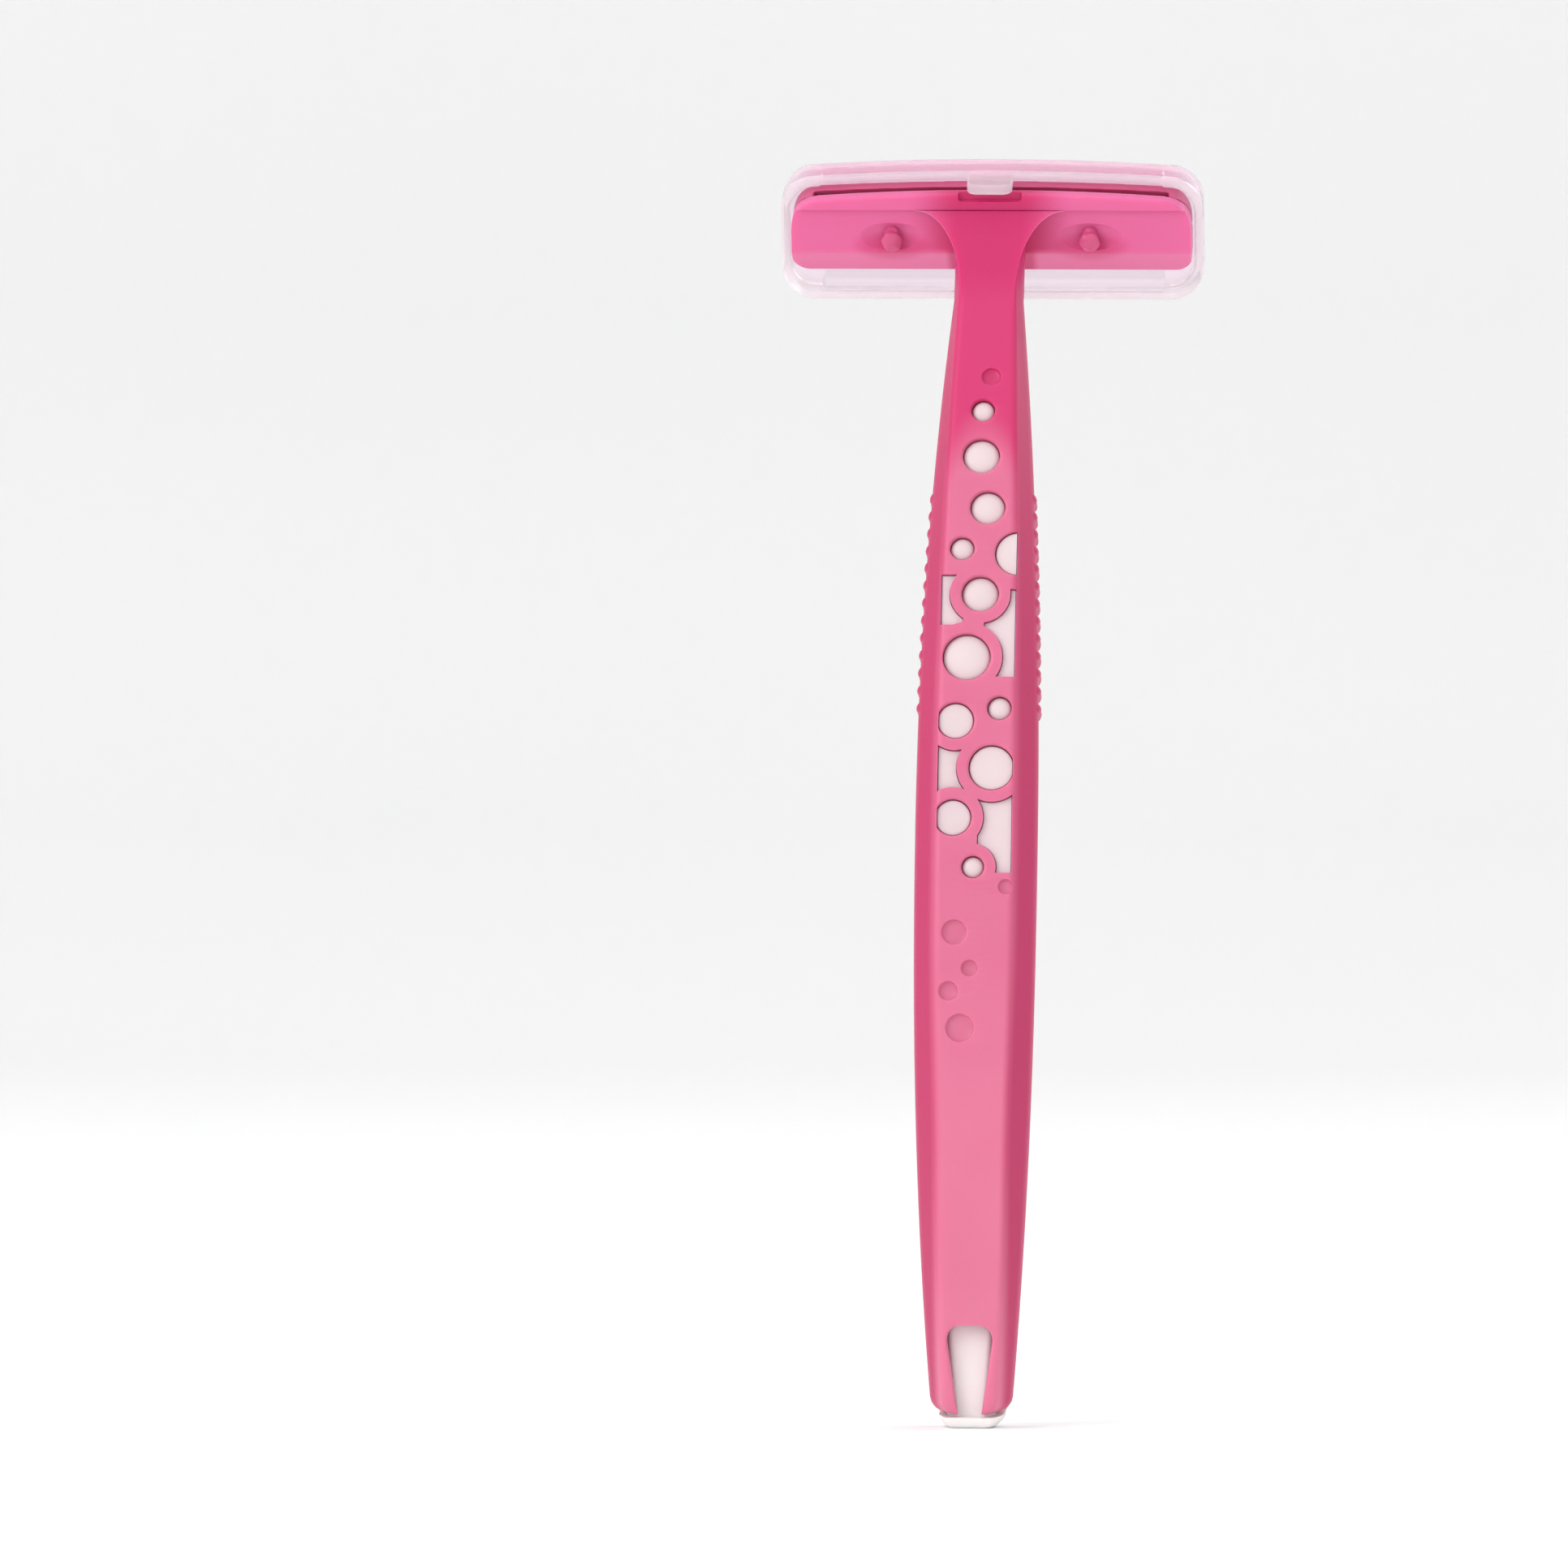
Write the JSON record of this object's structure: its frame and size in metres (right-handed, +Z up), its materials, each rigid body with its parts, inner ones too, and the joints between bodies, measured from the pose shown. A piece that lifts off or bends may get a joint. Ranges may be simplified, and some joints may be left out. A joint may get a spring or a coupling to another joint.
{
  "type": "cartridge razor",
  "caption": "Slim disposable wet-shaving razor: bowed translucent handle over a white core, fixed blade head with slotted guard strip, and a clear push-on cover.",
  "frame": {"origin": "in the flat end of the handle's tail, on the handle's middle line", "axes": "+Z up the handle towards the head, -Y towards the shaving side, X across the head"},
  "size_m": [0.0438, 0.0368, 0.1306],
  "materials": {
    "pink_shell": "translucent satin moulding",
    "white_core": "satin white moulding",
    "pink_cap": "translucent satin moulding",
    "blade_steel": "ground edge",
    "spacer_grey": "dark matte",
    "comb_steel": "bright strip",
    "clear_cover": "clear moulding"
  },
  "bodies": {
    "razor": {"handle_shell": "pink_shell", "handle_core": "white_core", "head_cap": "pink_cap", "blade_lower": "blade_steel", "blade_spacer": "spacer_grey", "blade_upper": "blade_steel", "comb_guard": "comb_steel"},
    "cover": {"cover": "clear_cover"}
  },
  "joints": [
    {"name": "cover_slide", "type": "slide", "parent": "razor", "child": "cover", "axis": [0, -0.9063, 0.4226], "range_m": [0, 0.03]}
  ]
}
